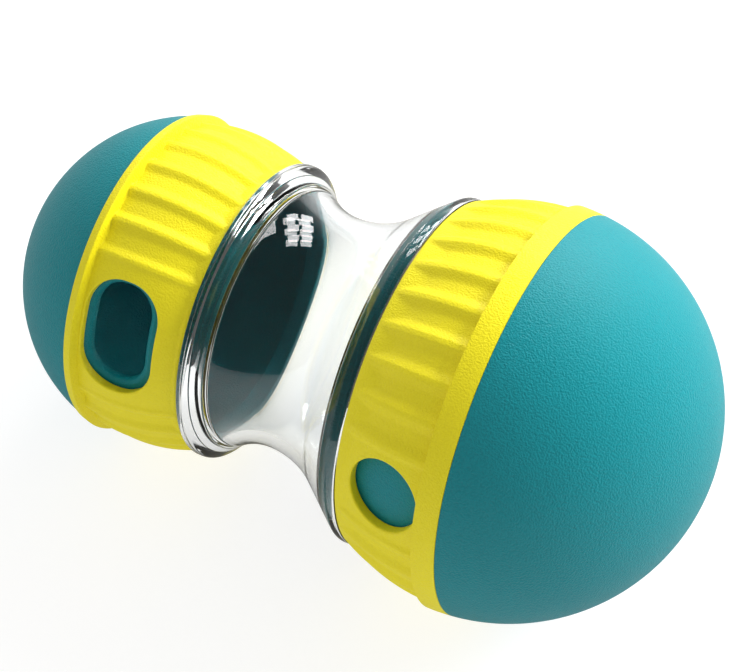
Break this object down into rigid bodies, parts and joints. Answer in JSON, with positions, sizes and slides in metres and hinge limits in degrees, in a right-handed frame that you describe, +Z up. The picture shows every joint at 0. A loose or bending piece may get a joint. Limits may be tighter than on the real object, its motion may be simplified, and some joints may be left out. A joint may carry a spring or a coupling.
{
  "type": "dog treat dispenser",
  "caption": "Rolling dumbbell toy: clear hourglass barrel, two hollow ball ends whose ribbed collars turn to open or shut a treat window.",
  "frame": {"origin": "centre of the waist's narrowest circle, on the roll axis", "axes": "+X along the roll axis towards the large end, +Z up; laid on a floor the toy touches it with both ball ends, and the roll axis then tilts 5.7 degrees down towards the small end"},
  "size_m": [0.1505, 0.085, 0.085],
  "materials": {
    "clear_plastic": "clear, polished",
    "teal_plastic": "satin with a fine pebbled mould grain",
    "yellow_plastic": "satin with a fine pebbled mould grain"
  },
  "bodies": {
    "barrel": {"clear_barrel": "clear_plastic"},
    "large_cap": {"large_dome": "teal_plastic", "large_sleeve": "teal_plastic"},
    "large_ring": {"large_collar": "yellow_plastic"},
    "small_cap": {"small_dome": "teal_plastic", "small_sleeve": "teal_plastic"},
    "small_ring": {"small_collar": "yellow_plastic"}
  },
  "joints": [
    {"name": "large_cap_slide", "type": "slide", "parent": "barrel", "child": "large_cap", "axis": [1, 0, 0], "range_m": [0, 0.02]},
    {"name": "large_collar_turn", "type": "hinge", "parent": "large_cap", "child": "large_ring", "pos_m": [0.0435, 0, 0], "axis": [1, 0, 0], "continuous": true},
    {"name": "small_cap_slide", "type": "slide", "parent": "barrel", "child": "small_cap", "axis": [-1, 0, 0], "range_m": [0, 0.02]},
    {"name": "small_collar_turn", "type": "hinge", "parent": "small_cap", "child": "small_ring", "pos_m": [-0.0292, 0, 0], "axis": [1, 0, 0], "continuous": true}
  ]
}
